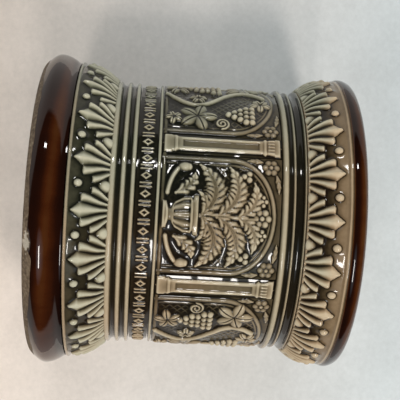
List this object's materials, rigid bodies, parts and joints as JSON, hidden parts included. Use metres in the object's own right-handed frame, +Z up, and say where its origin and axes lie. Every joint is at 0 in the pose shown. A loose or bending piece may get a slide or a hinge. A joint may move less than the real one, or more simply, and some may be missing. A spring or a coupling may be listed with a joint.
{
  "type": "stoneware tobacco jar",
  "caption": "Lidded stoneware jar with a heavy brown foot and lip, leaf borders, ring mouldings and a relief frieze; the inset lid lifts straight off.",
  "frame": {"origin": "centre of the foot's resting face", "axes": "+Z up along the jar's axis, -Y towards the front panel of the frieze"},
  "size_m": [0.1234, 0.1234, 0.13],
  "materials": {
    "olive_glaze": "translucent olive glaze, tan on raised edges, near black where it pools",
    "brown_glaze": "glossy dark brown glaze",
    "bare_clay": "unglazed stoneware",
    "cork": "sanded cork"
  },
  "bodies": {
    "jar": {"jar_wall": "olive_glaze", "base_disc": "brown_glaze", "foot_ring": "brown_glaze", "rim_ring": "brown_glaze", "lower_leaf_strip_1": "olive_glaze", "upper_leaf_strip_1": "olive_glaze", "ornament_strip_1": "olive_glaze", "lower_leaf_strip_2": "olive_glaze", "upper_leaf_strip_2": "olive_glaze", "ornament_strip_2": "olive_glaze", "frieze_panel_1": "olive_glaze", "frieze_pilaster_1": "olive_glaze", "frieze_panel_2": "olive_glaze", "frieze_pilaster_2": "olive_glaze", "frieze_panel_3": "olive_glaze", "frieze_pilaster_3": "olive_glaze", "frieze_panel_4": "olive_glaze", "frieze_pilaster_4": "olive_glaze", "frieze_panel_5": "olive_glaze", "frieze_pilaster_5": "olive_glaze", "frieze_panel_6": "olive_glaze", "frieze_pilaster_6": "olive_glaze"},
    "lid": {"lid_plate": "olive_glaze", "lid_knob": "brown_glaze", "seal_ring": "cork", "moistening_disc": "bare_clay"}
  },
  "joints": [
    {"name": "lid_lift", "type": "slide", "parent": "jar", "child": "lid", "axis": [0, 0, 1], "range_m": [0, 0.06]}
  ]
}
